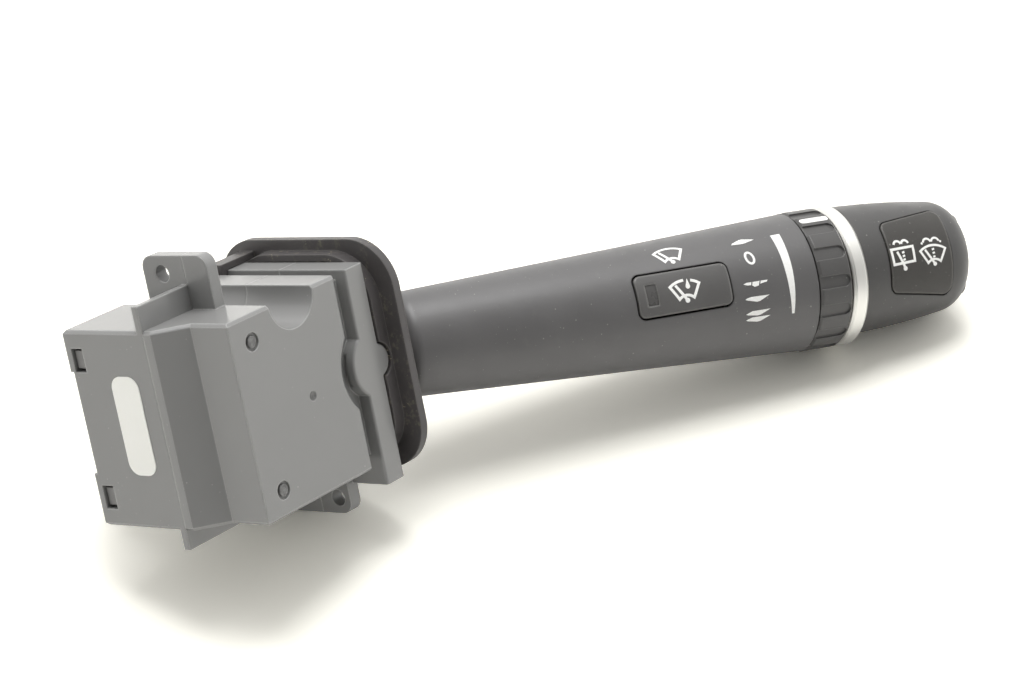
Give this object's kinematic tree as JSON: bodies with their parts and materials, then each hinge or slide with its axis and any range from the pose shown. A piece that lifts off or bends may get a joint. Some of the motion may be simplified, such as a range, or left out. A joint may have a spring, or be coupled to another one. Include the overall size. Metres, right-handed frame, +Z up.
{
  "type": "car wiper stalk switch",
  "caption": "Steering column stalk switch with a box housing, fixing ears, seal plate and an angled lever that carries a push button, a thumb ring, a satin ring and a tip rocker.",
  "frame": {"origin": "centre of the upper fixing hole, on the seat face of its ear", "axes": "+X out of the housing towards the lever, -Y towards the driver, +Z up"},
  "size_m": [0.1761, 0.1149, 0.0611],
  "materials": {
    "housing_grey": "satin",
    "plate_black": "matte",
    "lever_charcoal": "matte",
    "lever_core_black": "satin",
    "ring_black": "satin",
    "panel_grey": "matte",
    "silver_satin": "satin",
    "label_white": "matte",
    "lamp_lens": "gloss",
    "white_acetal": "satin",
    "steel": "satin",
    "brass": "satin",
    "board_green": "satin",
    "switch_black": "satin"
  },
  "bodies": {
    "housing": {"front_housing": "housing_grey", "rear_housing": "housing_grey", "back_cover": "housing_grey", "terminal_pins": "brass", "contact_board": "board_green", "contact_tracks": "brass", "detent_cam": "white_acetal", "housing_screws": "steel", "label": "label_white", "seal_plate": "plate_black"},
    "yoke_body": {"yoke": "white_acetal", "lever_pin": "steel", "detent_spring": "steel"},
    "detent_plunger_body": {"detent_plunger": "switch_black"},
    "contact_slider_body": {"contact_slider": "switch_black", "slider_contacts": "brass"},
    "lever": {"lever_core": "lever_core_black", "lever_front_shell": "lever_charcoal", "lever_rear_shell": "lever_charcoal", "root_dome": "lever_core_black", "lever_board": "board_green", "button_switch": "switch_black", "indicator_lamp": "white_acetal", "ring_track": "brass", "silver_ring": "silver_satin", "end_cap": "lever_charcoal", "icon_panel": "panel_grey", "rocker_pin": "steel", "rocker_switch": "switch_black", "return_spring": "steel"},
    "return_plunger_body": {"return_plunger": "white_acetal"},
    "button_body": {"rain_button": "lever_charcoal", "button_window": "lamp_lens"},
    "thumb_ring_body": {"thumb_ring": "ring_black", "ring_contact": "brass"},
    "rocker_body": {"rear_rocker": "ring_black"}
  },
  "joints": [
    {"name": "lever_up_down", "type": "hinge", "parent": "housing", "child": "yoke_body", "pos_m": [0.0298, -0.0059, -0.0271], "axis": [0, 1, 0], "range_deg": [-5, 15]},
    {"name": "lever_fore_aft", "type": "hinge", "parent": "yoke_body", "child": "lever", "pos_m": [0.0298, -0.0059, -0.0271], "axis": [0, 0, 1], "range_deg": [-6.5, 6.5], "stiffness_Nm_per_rad": 3},
    {"name": "detent_travel", "type": "slide", "parent": "yoke_body", "child": "detent_plunger_body", "axis": [1, 0, 0], "range_m": [0, 0.0008], "stiffness_N_per_m": 2500, "springref_m": -0.001},
    {"name": "return_travel", "type": "slide", "parent": "lever", "child": "return_plunger_body", "axis": [1, 0, 0], "range_m": [0, 0.0008], "stiffness_N_per_m": 2500, "springref_m": -0.001},
    {"name": "contact_travel", "type": "slide", "parent": "housing", "child": "contact_slider_body", "axis": [0, 0, 1], "range_m": [-0.0018, 0.0053]},
    {"name": "button_press", "type": "slide", "parent": "lever", "child": "button_body", "axis": [0.4338, 0.8253, -0.3615], "range_m": [0, 0.001], "stiffness_N_per_m": 2000, "springref_m": -0.0005},
    {"name": "ring_turn", "type": "hinge", "parent": "lever", "child": "thumb_ring_body", "pos_m": [0.0298, -0.0059, -0.0271], "axis": [0.8577, -0.5012, -0.1149], "range_deg": [0, 80]},
    {"name": "rocker_tilt", "type": "hinge", "parent": "lever", "child": "rocker_body", "pos_m": [0.15135, -0.07663, -0.04272], "axis": [-0.4338, -0.8253, 0.3615], "range_deg": [0, 12]}
  ],
  "couplings": [
    {"joint": "contact_travel", "follows": "lever_up_down", "m_per_rad": 0.02}
  ]
}
